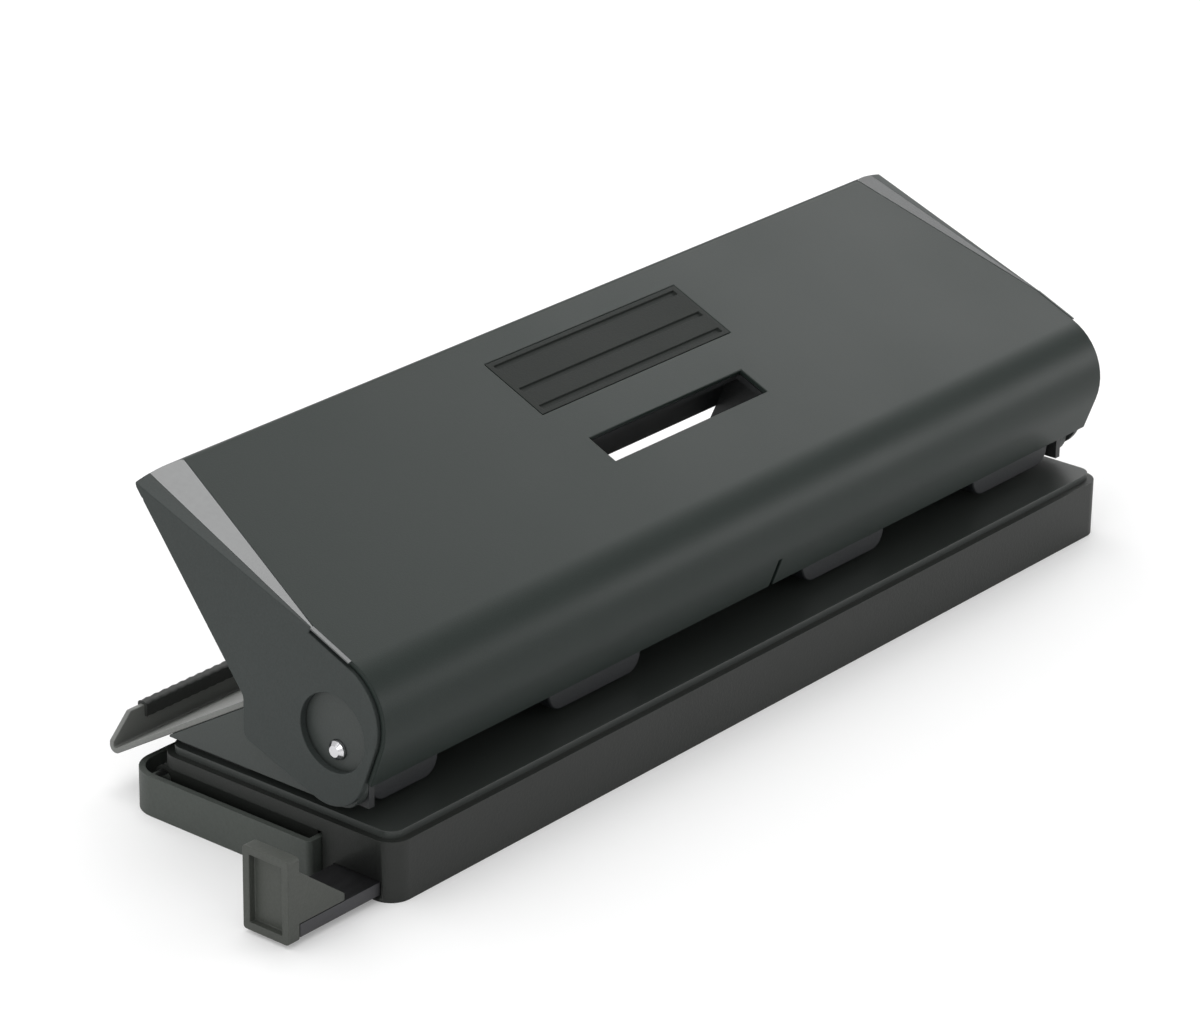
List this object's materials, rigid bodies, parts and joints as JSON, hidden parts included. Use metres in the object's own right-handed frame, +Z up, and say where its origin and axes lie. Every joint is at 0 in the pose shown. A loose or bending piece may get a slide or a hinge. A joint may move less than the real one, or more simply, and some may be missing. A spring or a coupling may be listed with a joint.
{
  "type": "four-hole desk punch",
  "caption": "Manual multi-hole desk paper punch with a long hollow tilted lever, sheet-steel bridge, low base, hinged chip tray and a sliding paper stop.",
  "frame": {"origin": "on the table, under the middle of the punch's length and of its base's depth", "axes": "+X along the punch from the paper stop's end to the other end, +Y from the paper's side to the lever's raised rear edge, +Z up"},
  "size_m": [0.3445, 0.0994, 0.0919],
  "materials": {
    "lever_paint": "satin",
    "lever_plastic": "satin",
    "facet_gloss": "gloss",
    "pad_rubber": "matte",
    "black_steel": "satin",
    "frame_paint": "satin",
    "roof_paint": "satin",
    "frame_plastic": "satin",
    "strip_rubber": "matte",
    "deck_steel": "satin",
    "base_plastic": "satin",
    "tray_plastic": "satin",
    "stop_plastic": "satin",
    "bar_steel": "satin",
    "bright_steel": "polished",
    "tool_steel": "ground",
    "spring_steel": "drawn wire",
    "screw_steel": "zinc plated",
    "bush_brass": "turned"
  },
  "bodies": {
    "base": {"base_body": "base_plastic", "die_plate": "deck_steel", "base_screws": "screw_steel", "paper_fence": "frame_paint", "bridge_plate": "frame_paint", "head_screws": "screw_steel", "roof_plate": "roof_paint", "lip_strip": "strip_rubber", "side_bracket_left": "frame_paint", "side_bracket_right": "frame_paint", "side_cheek_left": "frame_plastic", "side_cheek_right": "frame_plastic", "pivot_pin_left": "bright_steel", "pivot_pin_right": "bright_steel", "pivot_clip_left": "bright_steel", "pivot_clip_right": "bright_steel", "tray_pin_left": "bright_steel", "tray_pin_right": "bright_steel", "die_bush_1": "tool_steel", "die_bush_2": "tool_steel", "die_bush_3": "tool_steel", "die_bush_4": "tool_steel", "head_block_1": "frame_plastic", "head_block_2": "frame_plastic", "head_block_3": "frame_plastic", "head_block_4": "frame_plastic", "punch_spring_1": "spring_steel", "punch_spring_2": "spring_steel", "punch_spring_3": "spring_steel", "punch_spring_4": "spring_steel"},
    "lever": {"lever_cover": "lever_paint", "grip_pad": "pad_rubber", "lever_channel": "black_steel", "press_rod": "bright_steel", "end_cap_left": "lever_plastic", "end_cap_right": "lever_plastic", "end_trim_left": "facet_gloss", "end_trim_right": "facet_gloss", "lever_arm_left": "black_steel", "lever_arm_right": "black_steel", "pivot_bush_left": "bush_brass", "pivot_bush_right": "bush_brass", "lever_rib_left": "black_steel", "lever_rib_right": "black_steel"},
    "chip_tray": {"chip_tray": "tray_plastic"},
    "paper_stop": {"guide_bar": "bar_steel", "guide_stop": "stop_plastic", "guide_screw": "screw_steel"},
    "punch_1": {"punch_pin_1": "tool_steel"},
    "punch_2": {"punch_pin_2": "tool_steel"},
    "punch_3": {"punch_pin_3": "tool_steel"},
    "punch_4": {"punch_pin_4": "tool_steel"}
  },
  "joints": [
    {"name": "lever_hinge", "type": "hinge", "parent": "base", "child": "lever", "pos_m": [0, -0.024, 0.0365], "axis": [-1, 0, 0], "range_deg": [0, 20], "stiffness_Nm_per_rad": 1.2, "springref_deg": -11.46},
    {"name": "tray_hinge", "type": "hinge", "parent": "base", "child": "chip_tray", "pos_m": [0, 0.036, 0.0086], "axis": [1, 0, 0], "range_deg": [0, 45]},
    {"name": "stop_slide", "type": "slide", "parent": "base", "child": "paper_stop", "axis": [-1, 0, 0], "range_m": [-0.012, 0.04]},
    {"name": "punch_slide_1", "type": "slide", "parent": "base", "child": "punch_1", "axis": [0, 0, -1], "range_m": [0, 0.0068], "deforming": ["punch_spring_1"]},
    {"name": "punch_slide_2", "type": "slide", "parent": "base", "child": "punch_2", "axis": [0, 0, -1], "range_m": [0, 0.0068], "deforming": ["punch_spring_2"]},
    {"name": "punch_slide_3", "type": "slide", "parent": "base", "child": "punch_3", "axis": [0, 0, -1], "range_m": [0, 0.0068], "deforming": ["punch_spring_3"]},
    {"name": "punch_slide_4", "type": "slide", "parent": "base", "child": "punch_4", "axis": [0, 0, -1], "range_m": [0, 0.0068], "deforming": ["punch_spring_4"]}
  ],
  "couplings": [
    {"joint": "punch_slide_1", "follows": "lever_hinge", "m_per_rad": 0.01945},
    {"joint": "punch_slide_2", "follows": "lever_hinge", "m_per_rad": 0.01945},
    {"joint": "punch_slide_3", "follows": "lever_hinge", "m_per_rad": 0.01945},
    {"joint": "punch_slide_4", "follows": "lever_hinge", "m_per_rad": 0.01945}
  ]
}
